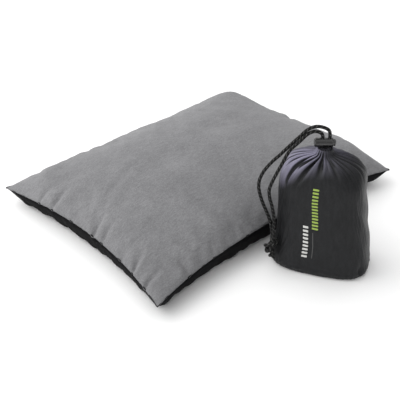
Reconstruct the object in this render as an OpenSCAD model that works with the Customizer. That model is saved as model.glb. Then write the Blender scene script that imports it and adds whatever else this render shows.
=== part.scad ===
// Stuffed camp pillow with its own drawcord stuff sack.
// The origin is the centre of the pillow's flat rest face, +X runs along its long side, +Z is up.

/* [Pillow] */
// Length over the corner tips
pillow_length = 420; // [300:5:520]
// Width over the corner tips
pillow_width = 320; // [220:5:400]
// Height of the edge seam at the middle of each side
seam_height = 32; // [24:1:40]
// Height of the corner tips
tip_height = 22; // [16:1:30]
// Rise of the top panel above the seam
crown = 48; // [30:1:70]
// How far each short side is pulled in at its middle
end_pull = 16; // [0:1:25]
// How far each long side is pulled in at its middle
side_pull = 17; // [0:1:22]
// Thickness of the cloth
cloth = 0.8; // [0.5:0.1:1.2]
// Stitches that close the filling gap
closing_stitch_count = 14; // [6:1:24]

/* [Stuff sack] */
// Height of the gathered mouth above the floor
mouth_height = 153.2; // [152:0.1:153.2]
// Angle of the sack's wide face about the vertical
sack_turn = -60; // [-70:5:-50]
// Top of the long printed bar above the rest face
print_top = 128; // [123:1:130]

/* [Cord lock] */
// Outer radius of the barrel
barrel_radius = 5.5; // [5.3:0.1:5.6]
// Radius of the plunger button
button_radius = 4.03; // [3.8:0.01:4.03]
// Travel of the button
button_travel = 2.2; // [1:0.1:2.4]
// Radius of the drawcord
cord_radius = 2; // [1.6:0.1:2.1]
// Height of the barrel's axis
lock_height = 166.5; // [166:0.1:167]

/* [Hidden] */

half_length = pillow_length / 2;
half_width = pillow_width / 2;
crown_power = 2.4;      // roundness of the crown in plan
crown_fullness = 0.72;  // steepness of the crown at the seam
pillow_columns = 30;
pillow_rows = 24;
filling_inset = 10;     // the filling stops short of the seam
thread_inset = 3;

// Sack: half width, half depth and sideways lean against height
sack_x = 7;
sack_y = -204;
wide_profile = [[0, 56], [3, 58.4], [8, 59.5], [20, 58], [45, 54.5], [75, 52], [105, 50], [122, 49],
    [132, 46.8], [139, 42.5], [144, 36], [147.8, 28], [150.8, 18], [153.2, 5.6]];
deep_profile = [[0, 33], [3, 35.2], [8, 36.4], [20, 36.6], [45, 36.4], [75, 36], [105, 35.5],
    [122, 34.8], [132, 33.2], [139, 30.4], [144, 26.4], [147.8, 21], [150.8, 14.5], [153.2, 5.6]];
lean_profile = [[0, 4], [45, 4], [105, -1.5], [139, -2], [153.2, -3.4]];
sack_power = 3;         // squareness of the sack in plan
square_below = 125;     // the plan turns round above this height
sack_sides = 48;
lean_dir = [cos(-42), sin(-42)];

// Cord lock and the two upright cords in it
lock_turn = -42;
lock_x = 2.6;
lock_y = -200;
inner_hole = -1.5;      // along the barrel from its reference point
outer_hole = 6.55;
cord_hole_radius = 2.35;
barrel_start = -10;
barrel_end = 10.2;
barrel_wall = 1.6;
collar_radius = 5.9;    // rim at the barrel's open end
collar_width = 0.85;
grip_groove = [0.4, 0.7];   // depth and width of the grip grooves
grip_places = [-8.2, -6.6, -5];
bore_radius = 4.1;
button_start = -4.7;
button_end = 13.6;
slot_play = 0.1;
slot_start = inner_hole - cord_radius - slot_play;
slot_end = outer_hole + cord_radius + button_travel + 3 * slot_play;
slot_width = 4.5;
thumb_dish_radius = 9;
thumb_dish_depth = 0.6;
mouth_x = 4.5;
mouth_y = -201.7;
loop_radius = 4.04;
loop_height = 157.2;
channel_radius = 3.3;
channel_bore = 2.3;

// Free strands: each is a hand-laid route in millimetres
outer_route = [[7.5, -204.4, 159.2], [7.5, -204.4, 168], [7.5, -204.4, 176], [6, -203, 182],
    [1, -198, 185.5], [-5, -192.5, 186], [-11, -187, 182], [-17, -181, 172.5], [-24, -174, 161],
    [-32, -168, 150], [-40, -163, 141], [-47, -159, 131], [-51.5, -157, 121], [-53, -157, 111],
    [-52, -159, 100], [-50, -162, 89], [-47, -166, 77], [-45, -169, 68], [-43.5, -171.5, 58],
    [-43, -173, 48], [-43, -173.5, 39]];
inner_route = [[1.5, -199, 159.2], [1.5, -199, 168], [1.5, -199, 175], [-1, -197, 179],
    [-6, -192.8, 180.5], [-12, -188.5, 177.5], [-18, -184.5, 170], [-27, -179, 160], [-32, -177, 152],
    [-36.5, -175.5, 143], [-41, -173, 132], [-45, -170.5, 121], [-48, -169, 110], [-47.5, -170, 99],
    [-46, -172.5, 89], [-45, -174.5, 79], [-44.5, -176, 69], [-45, -177, 59], [-45.5, -177.5, 49],
    [-45, -177, 39]];
knot_at = [-44.9, -174.9, 31.4];
knot_radius = 7.8;

// ---- helpers ----
function two_triangles(a, b, c, d) = [[a, b, c], [a, c, d]];
function flat(list) = [for (part = list) for (item = part) item];
function spread(i, n) = sin(90 * (2 * i / n - 1));

// Closed solid between two grids of points that share their rows and columns
module slab(upper, lower) {
    ni = len(upper);
    nj = len(upper[0]);
    points = concat(flat(upper), flat(lower));
    function up(i, j) = i * nj + j;
    function dn(i, j) = ni * nj + i * nj + j;
    faces = flat(concat(
        [for (i = [0:ni - 2], j = [0:nj - 2]) two_triangles(up(i, j), up(i, j + 1), up(i + 1, j + 1), up(i + 1, j))],
        [for (i = [0:ni - 2], j = [0:nj - 2]) two_triangles(dn(i, j), dn(i + 1, j), dn(i + 1, j + 1), dn(i, j + 1))],
        [for (i = [0:ni - 2]) two_triangles(up(i, 0), up(i + 1, 0), dn(i + 1, 0), dn(i, 0))],
        [for (i = [0:ni - 2]) two_triangles(up(i + 1, nj - 1), up(i, nj - 1), dn(i, nj - 1), dn(i + 1, nj - 1))],
        [for (j = [0:nj - 2]) two_triangles(up(0, j + 1), up(0, j), dn(0, j), dn(0, j + 1))],
        [for (j = [0:nj - 2]) two_triangles(up(ni - 1, j), up(ni - 1, j + 1), dn(ni - 1, j + 1), dn(ni - 1, j))]));
    polyhedron(points = points, faces = faces, convexity = 6);
}

// Closed solid through a stack of rings, each counterclockwise from above
module ring_stack(rings) {
    nr = len(rings);
    nc = len(rings[0]);
    function at(r, c) = r * nc + c % nc;
    faces = concat(
        flat([for (r = [0:nr - 2], c = [0:nc - 1]) two_triangles(at(r, c), at(r + 1, c), at(r + 1, c + 1), at(r, c + 1))]),
        [[for (c = [0:nc - 1]) at(0, c)], [for (c = [nc - 1:-1:0]) at(nr - 1, c)]]);
    polyhedron(points = flat(rings), faces = faces, convexity = 6);
}

// Smooth curve through a route: a Catmull-Rom segment cut into steps
function curve_point(a, b, c, d, t) = 0.5 * (2 * b + (c - a) * t + (2 * a - 5 * b + 4 * c - d) * t * t
    + (3 * b - a - 3 * c + d) * t * t * t);
function smooth_route(route, steps) = concat(
    [for (i = [0:len(route) - 2], k = [0:steps - 1])
        curve_point(route[max(i - 1, 0)], route[i], route[i + 1], route[min(i + 2, len(route) - 1)], k / steps)],
    [route[len(route) - 1]]);
function unit(v) = v / norm(v);
function heading(path, i) = unit(path[min(i + 1, len(path) - 1)] - path[max(i - 1, 0)]);
function side_dir(dir) = unit(cross(dir, [0.669, 0.743, 0]));

// Round tube of the given radius along a path that stays roughly in one upright plane
module tube(path, radius, sides) {
    ring_stack([for (i = [0:len(path) - 1])
        let (dir = heading(path, i), across = side_dir(dir), over = cross(dir, across))
        [for (k = [0:sides - 1]) path[i] + radius * (cos(360 * k / sides) * across + sin(360 * k / sides) * over)]]);
}

// ---- pillow ----
function pulled(half, pull, along, other) = (half - pull * (1 - other * other)) * along;
function seam_z(u, v) = seam_height - (seam_height - tip_height) * pow(u * u * v * v, 0.9);
function plan(u, v, inset) = [pulled(half_length - inset, end_pull, u, v), pulled(half_width - inset, side_pull, v, u)];
function crown_share(u, v) = pow((1 - pow(abs(u), crown_power)) * (1 - pow(abs(v), crown_power)), crown_fullness);
function rest_share(u, v) = min(1, pow(1.5 * (1 - pow(abs(u), 8)) * (1 - pow(abs(v), 8)), 0.7));
function top_point(u, v, inset, drop, edge) =
    concat(plan(u, v, inset), [seam_z(u, v) + edge + (crown - drop - edge) * crown_share(u, v)]);
function bottom_point(u, v, inset, lift, edge) =
    concat(plan(u, v, inset), [(seam_z(u, v) - edge) * (1 - rest_share(u, v)) + lift * rest_share(u, v)]);
function pillow_grid(side, inset, gap, edge) =
    [for (i = [0:pillow_columns]) [for (j = [0:pillow_rows])
        let (u = spread(i, pillow_columns), v = spread(j, pillow_rows))
        side > 0 ? top_point(u, v, inset, gap, edge) : bottom_point(u, v, inset, gap, edge)]];

module pillow_top_panel() {
    color("#858588") slab(pillow_grid(1, 0, 0, 0), pillow_grid(1, cloth, cloth, 0));
}

module pillow_bottom_panel() {
    color("#161618") slab(pillow_grid(-1, cloth, cloth, 0), pillow_grid(-1, 0, 0, 0));
}

module pillow_filling() {
    color("whitesmoke")
        slab(pillow_grid(1, filling_inset, cloth + 0.4, 1), pillow_grid(-1, filling_inset, cloth + 0.3, 1));
}

module pillow_edge_thread() {
    side_steps = 14;
    turn_at = 0.95;         // the thread cuts across each corner from here
    thread_radius = 0.4;
    run = [for (k = [0:side_steps]) turn_at * (2 * k / side_steps - 1)];
    places = concat([for (t = run) [t, -1]], [for (t = run) [1, t]], [for (t = run) [-t, 1]], [for (t = run) [-1, -t]]);
    steps = len(places);
    rings = [for (place = places)
        let (here = concat(plan(place[0], place[1], thread_inset), [seam_z(place[0], place[1])]),
            away = unit([here[0], here[1], 0]))
        [for (q = [0:3]) here + thread_radius * (cos(90 * q) * away + sin(90 * q) * [0, 0, 1])]];
    faces = flat([for (k = [0:steps - 1], q = [0:3])
        let (next = (k + 1) % steps)
        two_triangles(4 * k + q, 4 * k + (q + 1) % 4, 4 * next + (q + 1) % 4, 4 * next + q)]);
    color("dimgray") polyhedron(points = flat(rings), faces = faces, convexity = 6);
}

// Short stitches along the back edge, just outside the seam
module pillow_closing_stitches() {
    stitch_pitch = 9;
    stitch_length = 5;
    stitch_radius = 0.35;
    color("gray")
        for (k = [0:closing_stitch_count - 1]) {
            x = (k - (closing_stitch_count - 1) / 2) * stitch_pitch;
            u = x / (half_length - end_pull);
            y = half_width - side_pull * (1 - u * u) + stitch_radius + 0.05;
            translate([x, y, seam_z(u, 1)]) rotate([0, 90, 2 * u * 4.6])
                cylinder(r = stitch_radius, h = stitch_length, center = true, $fn = 24);
        }
}

// Blank woven tape sewn into the back seam
module pillow_care_label() {
    label_u = 0.48;
    label_size = [24, 15, 0.5];
    label_x = pulled(half_length, end_pull, label_u, 1);
    label_y = half_width - side_pull * (1 - label_u * label_u) + 0.4;
    color("white")
        translate([label_x, label_y, seam_z(label_u, 1) - 0.5]) rotate([-25, 0, 4])
            translate([-label_size[0] / 2, 0, -label_size[2]]) cube(label_size);
}

// ---- stuff sack ----
function outline(angle, half_wide, half_deep) =
    [half_wide * sign(cos(angle)) * pow(abs(cos(angle)), 2 / sack_power),
     half_deep * sign(sin(angle)) * pow(abs(sin(angle)), 2 / sack_power)];
// The squared plan turns into a circle as the cloth gathers to the mouth
function mixed_outline(angle, half_wide, half_deep, square) =
    square * outline(angle, half_wide, half_deep) + (1 - square) * [half_wide * cos(angle), half_deep * sin(angle)];
function squareness(z) = z < square_below ? 1 : max(0, (mouth_height - z) / (mouth_height - square_below));
function sack_point(angle, z, inset) =
    let (flat_point = mixed_outline(angle, lookup(z, wide_profile) - inset, lookup(z, deep_profile) - inset, squareness(z)),
        lean = lookup(z, lean_profile),
        cut = z > 132 ? inset : 0)
    [sack_x + lean * lean_dir[0] + flat_point[0] * cos(sack_turn) - flat_point[1] * sin(sack_turn),
     sack_y + lean * lean_dir[1] + flat_point[0] * sin(sack_turn) + flat_point[1] * cos(sack_turn), z - cut];
function sack_ring(z, inset) = [for (k = [0:sack_sides - 1]) sack_point(360 * k / sack_sides, z, inset)];
side_levels = [0.9, 3, 8, 20, 45, 75, 105, 122, 132, 139, 144, 147.8, 150.8, mouth_height];
filling_levels = [3, 8, 20, 45, 75, 105, 122, 132, 139, 144, 147.8];

module sack_side_panel() {
    nr = len(side_levels);
    nc = sack_sides;
    points = concat(flat([for (z = side_levels) sack_ring(z, 0)]), flat([for (z = side_levels) sack_ring(z, cloth)]));
    function out(r, c) = r * nc + c % nc;
    function inn(r, c) = (nr + r) * nc + c % nc;
    faces = flat(concat(
        [for (r = [0:nr - 2], c = [0:nc - 1]) two_triangles(out(r, c), out(r + 1, c), out(r + 1, c + 1), out(r, c + 1))],
        [for (r = [0:nr - 2], c = [0:nc - 1]) two_triangles(inn(r, c), inn(r, c + 1), inn(r + 1, c + 1), inn(r + 1, c))],
        [for (c = [0:nc - 1]) two_triangles(out(0, c), out(0, c + 1), inn(0, c + 1), inn(0, c))],
        [for (c = [0:nc - 1]) two_triangles(out(nr - 1, c + 1), out(nr - 1, c), inn(nr - 1, c), inn(nr - 1, c + 1))]));
    color("#2e2f31") polyhedron(points = points, faces = faces, convexity = 8);
}

module sack_base_panel() {
    color("#343538")
        linear_extrude(0.9) polygon([for (p = sack_ring(0, 0)) [p[0], p[1]]]);
}

// Bound seam allowance standing inside the base edge
module sack_base_binding() {
    color("black") translate([0, 0, 0.9]) linear_extrude(1.8) difference() {
        polygon([for (p = sack_ring(0.9, cloth + 0.4)) [p[0], p[1]]]);
        polygon([for (p = sack_ring(0.9, cloth + 3)) [p[0], p[1]]]);
    }
}

// Curved strip of the sack's surface between two angles, inset and thickness
module sack_patch(from, to, pieces, levels, outside, inside) {
    slab([for (z = levels) [for (k = [0:pieces]) sack_point(from + (to - from) * k / pieces, z, outside)]],
        [for (z = levels) [for (k = [0:pieces]) sack_point(from + (to - from) * k / pieces, z, inside)]]);
}

module sack_seam_tape() {
    color("black") sack_patch(84, 96, 3, [8, 20, 45, 75, 105, 122], cloth + 0.2, cloth + 0.7);
}

module sack_packed_filling() {
    color("gainsboro") ring_stack([for (z = filling_levels) sack_ring(z, cloth + 1.6)]);
}

// Plain upright bars printed on the wide front face
module printed_bar(from, to, levels) {
    film = 0.15;
    lift = 0.05;
    sack_patch(from, to, 3, levels, -film - lift, -lift);
}

module sack_print() {
    color("white") printed_bar(-100.5, -94, [27, 45, 75]);
    color("yellowgreen") printed_bar(-92.2, -89.4, [70, 75, 105, 122, print_top]);
    color("darkgray") printed_bar(-91.9, -91.2, [27, 45, 65]);
}

module cord_channel() {
    color("#3a3b3e") translate([mouth_x, mouth_y, loop_height]) difference() {
        rotate_extrude($fn = 48) translate([loop_radius, 0]) circle(r = channel_radius, $fn = 32);
        rotate_extrude($fn = 48) translate([loop_radius, 0]) circle(r = channel_bore, $fn = 32);
        for (side = [-1, 1])
            rotate([0, 0, lock_turn]) translate([side * loop_radius, 0, 0])
                cylinder(r = channel_bore, h = 6, $fn = 32);
    }
}

module channel_stitching() {
    stitch_count = 12;
    stitch_ring = 5.2;
    color("black") translate([mouth_x, mouth_y, mouth_height + 0.42])
        for (k = [0:stitch_count - 1])
            rotate([0, 0, 360 * k / stitch_count]) translate([stitch_ring, 0, 0])
                rotate([90, 0, 0]) cylinder(r = 0.3, h = 1.3, center = true, $fn = 16);
}

module mouth_drawcord() {
    color("black") translate([mouth_x, mouth_y, loop_height])
        rotate_extrude($fn = 48) translate([loop_radius, 0]) circle(r = cord_radius, $fn = 24);
}

module drawcord_outer_strand() {
    color("black") tube(smooth_route(outer_route, 2), cord_radius, 8);
}

module drawcord_inner_strand() {
    color("black") tube(smooth_route(inner_route, 2), cord_radius, 8);
}

module drawcord_knot() {
    color("black") {
        translate(knot_at) sphere(r = knot_radius, $fn = 48);
        for (tail = [[2, -2.6, 0], [-2.5, 1.5, 35]])
            translate(knot_at + [tail[0], tail[1], 0]) rotate([180 + 8, 14, tail[2]])
                cylinder(r = cord_radius, h = 17, $fn = 24);
    }
}

// ---- cord lock ----
module in_lock_frame() {
    translate([lock_x, lock_y, lock_height]) rotate([0, 0, lock_turn]) rotate([0, 90, 0]) children();
}

// Turned solid along the barrel's axis from one place to another, with small chamfers
module turned(radius, from, to, chamfer) {
    rotate_extrude($fn = 64)
        polygon([[0, from], [radius - chamfer, from], [radius, from + chamfer], [radius, to - chamfer],
            [radius - chamfer, to], [0, to]]);
}

module grip_ring(place) {
    translate([0, 0, place - grip_groove[1] / 2]) difference() {
        cylinder(r = 2 * barrel_radius, h = grip_groove[1], $fn = 64);
        cylinder(r = barrel_radius - grip_groove[0], h = grip_groove[1], $fn = 64);
    }
}

module lock_barrel() {
    color("#1a1a1b") in_lock_frame() difference() {
        union() {
            turned(barrel_radius, barrel_start, barrel_end, 0.8);
            turned(collar_radius, barrel_end - collar_width, barrel_end, 0.25);
        }
        for (place = grip_places) grip_ring(place);
        translate([0, 0, barrel_start + barrel_wall])
            cylinder(r = bore_radius, h = barrel_end - barrel_start, $fn = 64);
        for (place = [inner_hole, outer_hole])
            translate([0, 0, place]) rotate([0, 90, 0])
                cylinder(r = cord_hole_radius, h = 4 * barrel_radius, center = true, $fn = 48);
    }
}

module lock_button() {
    color("#262627") in_lock_frame() difference() {
        turned(button_radius, button_start, button_end, 0.8);
        plunger_slot();
        translate([0, 0, button_end + thumb_dish_radius - thumb_dish_depth])
            sphere(r = thumb_dish_radius, $fn = 96);
    }
}

// Slot with square ends that lets both cords through the plunger
module plunger_slot() {
    translate([-2 * button_radius, -slot_width / 2, slot_start])
        cube([4 * button_radius, slot_width, slot_end - slot_start]);
}

module lock_spring() {
    wire_radius = 0.2;
    coil_radius = 2.7;
    turns = 3;
    steps = 14;
    spring_start = barrel_start + barrel_wall + wire_radius + 0.05;
    spring_end = button_start - wire_radius - 0.05;
    rings = [for (i = [0:turns * steps])
        let (angle = 360 * i / steps, z = spring_start + (spring_end - spring_start) * i / (turns * steps),
            away = [cos(angle), sin(angle), 0])
        [for (q = [0:5]) coil_radius * away + [0, 0, z] + wire_radius * (cos(60 * q) * away + sin(60 * q) * [0, 0, 1])]];
    nr = len(rings);
    faces = concat(
        flat([for (r = [0:nr - 2], q = [0:5])
            two_triangles(6 * r + q, 6 * r + (q + 1) % 6, 6 * r + 6 + (q + 1) % 6, 6 * r + 6 + q)]),
        [[for (q = [5:-1:0]) q], [for (q = [0:5]) 6 * (nr - 1) + q]]);
    color("silver") in_lock_frame() polyhedron(points = flat(rings), faces = faces, convexity = 6);
}

pillow_top_panel();
pillow_bottom_panel();
pillow_filling();
pillow_edge_thread();
pillow_closing_stitches();
pillow_care_label();
sack_side_panel();
sack_base_panel();
sack_base_binding();
sack_seam_tape();
sack_packed_filling();
sack_print();
cord_channel();
channel_stitching();
mouth_drawcord();
drawcord_outer_strand();
drawcord_inner_strand();
drawcord_knot();
lock_barrel();
lock_spring();
lock_button();
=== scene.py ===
import math
import bpy
import numpy as np
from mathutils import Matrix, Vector


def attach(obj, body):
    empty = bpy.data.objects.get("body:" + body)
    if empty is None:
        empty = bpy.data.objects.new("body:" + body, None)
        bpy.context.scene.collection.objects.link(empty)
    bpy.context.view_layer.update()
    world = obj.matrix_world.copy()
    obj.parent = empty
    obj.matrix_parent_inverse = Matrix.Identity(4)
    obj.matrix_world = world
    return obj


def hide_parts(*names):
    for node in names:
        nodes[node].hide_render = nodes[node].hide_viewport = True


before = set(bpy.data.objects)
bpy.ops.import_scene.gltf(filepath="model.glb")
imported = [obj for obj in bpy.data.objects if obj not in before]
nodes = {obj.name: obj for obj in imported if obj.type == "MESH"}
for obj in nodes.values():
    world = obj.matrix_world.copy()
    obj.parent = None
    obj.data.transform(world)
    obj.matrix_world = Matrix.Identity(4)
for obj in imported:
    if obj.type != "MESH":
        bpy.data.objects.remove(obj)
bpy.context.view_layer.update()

mm = 0.001
print("frame loaded with", len(nodes), "nodes")


# ---- working in Blender ----
def clearSelection():
    if bpy.context.object and bpy.context.object.mode != "OBJECT":
        bpy.ops.object.mode_set(mode="OBJECT")
    bpy.ops.object.select_all(action="DESELECT")


def pick(*chosen):
    clearSelection()
    for obj in chosen:
        obj.select_set(True)
    bpy.context.view_layer.objects.active = chosen[0]


def getPoints(mesh):
    flat = np.zeros(len(mesh.vertices) * 3)
    mesh.vertices.foreach_get("co", flat)
    return flat.reshape(-1, 3)


def setPoints(mesh, points):
    mesh.vertices.foreach_set("co", np.ascontiguousarray(points, dtype=float).ravel())
    mesh.update()


def paint(obj, name, values):
    # a number for each vertex, which a material can read
    layer = obj.data.attributes.new(name, "FLOAT", "POINT")
    layer.data.foreach_set("value", np.asarray(values, dtype=float))


def onWholeMesh(obj, edit):
    # an edit mode operator on all of one piece
    pick(obj)
    bpy.ops.object.mode_set(mode="EDIT")
    bpy.ops.mesh.select_all(action="SELECT")
    edit()
    bpy.ops.object.mode_set(mode="OBJECT")


def flipFaces(obj):
    onWholeMesh(obj, bpy.ops.mesh.flip_normals)


def mergeDoubles(obj, distance=1e-6, outward=True):
    def merge():
        bpy.ops.mesh.remove_doubles(threshold=distance)
        if outward:
            bpy.ops.mesh.normals_make_consistent(inside=False)

    onWholeMesh(obj, merge)


def gridPiece(name, columns, rows, place, marks=None, flip=False):
    # a plane grid whose points go to place(s, t); marks gives attributes from the same s and t
    clearSelection()
    bpy.ops.mesh.primitive_grid_add(x_subdivisions=columns, y_subdivisions=rows, size=1)
    obj = bpy.context.object
    obj.name = obj.data.name = name
    flat = getPoints(obj.data)
    s = np.rint((flat[:, 0] + 0.5) * columns) / columns
    t = np.rint((flat[:, 1] + 0.5) * rows) / rows
    for mark, values in (marks(s, t) if marks else {}).items():
        paint(obj, mark, values)
    setPoints(obj.data, place(s, t))
    if flip:
        flipFaces(obj)
    return obj


def modify(obj, kind, **settings):
    pick(obj)
    bpy.ops.object.modifier_add(type=kind)
    modifier = obj.modifiers[-1]
    for key, value in settings.items():
        setattr(modifier, key, value)
    bpy.ops.object.modifier_apply(modifier=modifier.name)


def thicken(obj, thickness, offset=-1):
    modify(obj, "SOLIDIFY", thickness=thickness, offset=offset, use_even_offset=False)


def joinPieces(name, pieces):
    pick(*pieces)
    if len(pieces) > 1:
        bpy.ops.object.join()
    obj = bpy.context.object
    obj.name = obj.data.name = name
    return obj


def finishPiece(obj, body, slot, replaced, look=None):
    obj.data.materials.clear()
    obj.data.materials.append(look or looks[slot])
    pick(obj)
    bpy.ops.object.shade_smooth()
    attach(obj, body)
    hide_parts(replaced)
    print(obj.name, "has", len(obj.data.polygons), "faces")
    return obj


# ---- curves and smooth variation ----
def smoothRoute(route, steps):
    # a Catmull-Rom curve through the points, each stretch cut into steps
    route = np.asarray(route, dtype=float)
    last = len(route) - 1
    points = []
    for i in range(last):
        a, b, c, d = route[max(i - 1, 0)], route[i], route[i + 1], route[min(i + 2, last)]
        for t in np.arange(steps) / steps:
            bend = (2 * a - 5 * b + 4 * c - d) * t * t + (3 * b - a - 3 * c + d) * t ** 3
            points.append(0.5 * (2 * b + (c - a) * t + bend))
    return np.array(points + [route[last]])


def lengths(points):
    # how far along the line each point is
    return np.concatenate([[0], np.cumsum(np.linalg.norm(np.diff(points, axis=0), axis=1))])


def evenly(points, step):
    # the same line with points about a step apart
    along = lengths(points)
    places = np.linspace(0, along[-1], max(2, int(round(along[-1] / step)) + 1))
    return np.stack([np.interp(places, along, points[:, k]) for k in range(3)], axis=1)


def waves(seed, low, high, count=9):
    # smooth irregular variation of two values, from -1 to 1, with low to high cycles per unit
    random = np.random.default_rng(seed)
    turn = random.uniform(0, 2 * np.pi, count)
    pace = random.uniform(low, high, count) * 2 * np.pi
    phase = random.uniform(0, 2 * np.pi, count)

    def value(x, y):
        total = 0
        for k in range(count):
            total = total + np.sin(pace[k] * (x * np.cos(turn[k]) + y * np.sin(turn[k])) + phase[k])
        return total / count ** 0.5 / 1.6

    return value


def smoothStep(value):
    value = np.clip(value, 0, 1)
    return value * value * (3 - 2 * value)


def unitVectors(vectors):
    return vectors / np.maximum(np.linalg.norm(vectors, axis=-1, keepdims=True), 1e-12)


def carriedFrames(points, start):
    # directions across a path that turn no more than the path does
    heading = unitVectors(np.gradient(points, axis=0))
    across = [unitVectors(start - heading[0] * np.dot(start, heading[0]))]
    for k in range(1, len(points)):
        side = across[-1] - heading[k] * np.dot(across[-1], heading[k])
        across.append(unitVectors(side))
    across = np.array(across)
    return across, np.cross(heading, across)


tube = {"startAcross": (0.669, 0.743, 0), "capRows": 3, "tipPush": 0.5}


def roundTube(name, points, radius, sides, relief=None):
    # relief(turn, distance) is added to the radius; the ends close to a rounded tip
    across, over = carriedFrames(points, np.array(tube["startAcross"]))
    along = lengths(points)
    rows, capRows = len(points) - 1, tube["capRows"]
    total = rows + 2 * capRows
    heading = unitVectors(np.gradient(points, axis=0))

    def place(s, t):
        row = np.rint(t * total).astype(int)
        ring = np.clip(row - capRows, 0, rows)
        before, after = np.maximum(capRows - row, 0), np.maximum(row - capRows - rows, 0)
        cap = np.maximum(before, after) / capRows
        turn = s * 2 * np.pi
        size = radius + (relief(s, along[ring]) if relief is not None else 0)
        size = size * np.sqrt(np.maximum(1 - cap ** 2, 0))
        push = tube["tipPush"] * radius * np.sin(cap * np.pi / 2) * np.where(before > 0, -1, 1)
        wide = (np.cos(turn) * size)[:, None] * across[ring] + (np.sin(turn) * size)[:, None] * over[ring]
        return points[ring] + wide + push[:, None] * heading[ring]

    def marks(s, t):
        ring = np.clip(np.rint(t * total).astype(int) - capRows, 0, rows)
        return {"turnPlace": s, "alongPlace": along[ring]}

    obj = gridPiece(name, sides, total, place, marks)
    mergeDoubles(obj, 1e-7)
    return obj


# ---- materials ----
class Wire:
    # a socket that can be used in sums
    def __init__(self, look, socket):
        self.look, self.socket = look, socket

    def maths(self, operation, *values):
        return self.look.node("ShaderNodeMath", {"operation": operation}, dict(enumerate(values)))

    def __add__(self, other):
        return self.maths("ADD", self, other)

    def __sub__(self, other):
        return self.maths("SUBTRACT", self, other)

    def __rsub__(self, other):
        return self.maths("SUBTRACT", other, self)

    def __mul__(self, other):
        return self.maths("MULTIPLY", self, other)

    def __truediv__(self, other):
        return self.maths("DIVIDE", self, other)

    def __rtruediv__(self, other):
        return self.maths("DIVIDE", other, self)

    __radd__, __rmul__ = __add__, __mul__

    def wave(self):
        return self.maths("SINE", self)

    def size(self):
        return self.maths("ABSOLUTE", self)

    def clipped(self, low, high):
        return self.look.node("ShaderNodeMapRange", {"interpolation_type": "SMOOTHSTEP"},
                              {"Value": self, "From Min": low, "From Max": high})


class Nodes:
    # the nodes of one material or sky
    def __init__(self, tree, ending):
        self.tree = tree
        self.ending = next(n for n in tree.nodes if n.type == ending)

    def node(self, kind, settings=None, values=None, output=0):
        made = self.tree.nodes.new(kind)
        for key, value in (settings or {}).items():
            setattr(made, key, value)
        for key, value in (values or {}).items():
            if isinstance(value, Wire):
                self.tree.links.new(value.socket, made.inputs[key])
            else:
                made.inputs[key].default_value = value
        return Wire(self, made.outputs[output])

    def link(self, **wires):
        for key, wire in wires.items():
            self.tree.links.new(wire.socket, self.ending.inputs[key.replace("_", " ")])


class Look(Nodes):
    # one material, with constants for its shader
    def __init__(self, name, **constants):
        self.material = bpy.data.materials.new(name)
        self.material.use_nodes = True
        super().__init__(self.material.node_tree, "BSDF_PRINCIPLED")
        for key, value in constants.items():
            self.ending.inputs[key.replace("_", " ")].default_value = value

    def place(self):
        return self.node("ShaderNodeTexCoord", output="Object")

    def stretched(self, scale, turn=0.0):
        values = {"Vector": self.place(), "Scale": scale, "Rotation": (0, 0, turn)}
        return self.node("ShaderNodeMapping", {}, values)

    def chart(self, axis):
        chart = self.node("ShaderNodeUVMap", {"uv_map": "UVMap"})
        return self.node("ShaderNodeSeparateXYZ", {}, {0: chart}, axis)

    def painted(self, name):
        return self.node("ShaderNodeAttribute", {"attribute_name": name}, output="Fac")

    def grain(self, scale, detail=3.0, vector=None, rough=0.5):
        values = {"Vector": vector or self.place(), "Scale": scale, "Detail": detail, "Roughness": rough}
        return self.node("ShaderNodeTexNoise", {}, values)

    def blend(self, factor, first, second):
        colours = [c if isinstance(c, Wire) else (*c, 1) for c in (first, second)]
        # sockets 6 and 7 are the colours of a mix, and output 2 is its result
        return self.node("ShaderNodeMix", {"data_type": "RGBA"}, {0: factor, 6: colours[0], 7: colours[1]}, 2)

    def bumped(self, height, distance, strength=1.0, below=None):
        values = {"Height": height, "Distance": distance, "Strength": strength}
        if below is not None:
            values["Normal"] = below
        return self.node("ShaderNodeBump", {}, values)

    def feed(self, **wires):
        self.link(**wires)
        return self.material


suede = {"dark": (0.132, 0.132, 0.137), "light": (0.262, 0.262, 0.269), "nap": 760, "mottle": 34,
         "napDepth": 0.00022}


def makeSuede():
    look = Look("brushedSuede", Sheen_Weight=0.12, Sheen_Roughness=0.45, Specular_IOR_Level=0.08)
    nap = look.grain(suede["nap"], 4.0, rough=0.65)
    streaks = look.grain(160, 3.0, look.stretched((1, 3.4, 1), 0.5))
    mottle = look.grain(suede["mottle"], 4.0, rough=0.6)
    broad = look.grain(7.0, 2.0)
    tone = mottle * 0.16 + streaks * 0.24 + nap * 0.54 + broad * 0.2
    colour = look.blend(tone.clipped(0.36, 0.82), suede["dark"], suede["light"])
    soft = look.bumped(streaks * 0.6 + mottle * 0.4, 0.0006, 0.35)
    return look.feed(Base_Color=colour, Roughness=nap * 0.1 + 0.85,
                     Normal=look.bumped(nap, suede["napDepth"], 0.75, soft))


underCloth = {"dark": (0.0015, 0.0015, 0.0018), "light": (0.0070, 0.0070, 0.0078), "pitch": 0.9 * mm}


def weaveHeight(look, width, length, pitch):
    # plain weave of threads that pass over and under each other
    across = look.chart("X") * (width / pitch * math.pi)
    along = look.chart("Y") * (length / pitch * math.pi)
    return across.wave() * along.wave() * 0.5 + 0.5


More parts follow.
